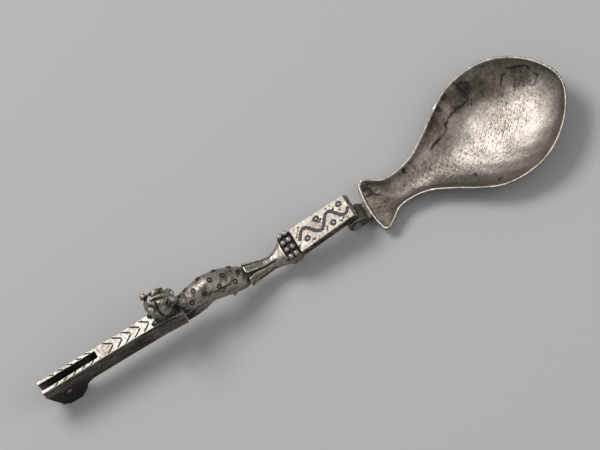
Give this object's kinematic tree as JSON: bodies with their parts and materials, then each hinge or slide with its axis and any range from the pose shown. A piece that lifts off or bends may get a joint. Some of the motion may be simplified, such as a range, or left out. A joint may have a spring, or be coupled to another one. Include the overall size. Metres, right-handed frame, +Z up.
{
  "type": "folding spoon",
  "caption": "Folding silver spoon with a pear-shaped bowl on a hinge, and a leopard lying along its slotted handle.",
  "frame": {"origin": "on the table, under the middle of the spoon's length", "axes": "+X from the tail of the handle to the tip of the bowl, +Z up, the handle's near side is -Y"},
  "size_m": [0.1596, 0.037, 0.0218],
  "materials": {
    "silver": "worn, tarnished silver",
    "dark_silver": "dark tarnished silver",
    "niello": "dull black inlay"
  },
  "bodies": {
    "handle": {"front_block": "silver", "bead_collar": "silver", "calyx": "silver", "leopard_body": "silver", "leopard_head": "silver", "rear_bar": "silver", "bead_1": "silver", "bead_2": "silver", "bead_3": "silver", "bead_4": "silver", "bead_5": "silver", "bead_6": "silver", "bead_7": "silver", "bead_8": "silver", "tail_pin": "dark_silver", "serpentine_inlay": "niello", "ring_inlay_1": "niello", "ring_inlay_2": "niello", "ring_inlay_3": "niello", "ring_inlay_4": "niello", "spot_inlay_1": "niello", "spot_inlay_2": "niello", "spot_inlay_3": "niello", "spot_inlay_4": "niello", "spot_inlay_5": "niello", "spot_inlay_6": "niello", "spot_inlay_7": "niello", "spot_inlay_8": "niello", "spot_inlay_9": "niello", "spot_inlay_10": "niello", "spot_inlay_11": "niello", "spot_inlay_12": "niello"},
    "bowl": {"bowl": "silver", "bowl_tang": "silver", "hinge_pin": "dark_silver"}
  },
  "joints": [
    {"name": "bowl_fold", "type": "hinge", "parent": "handle", "child": "bowl", "pos_m": [0.01367, 0, 0.00331], "axis": [0, 1, 0], "range_deg": [0, 170]}
  ]
}
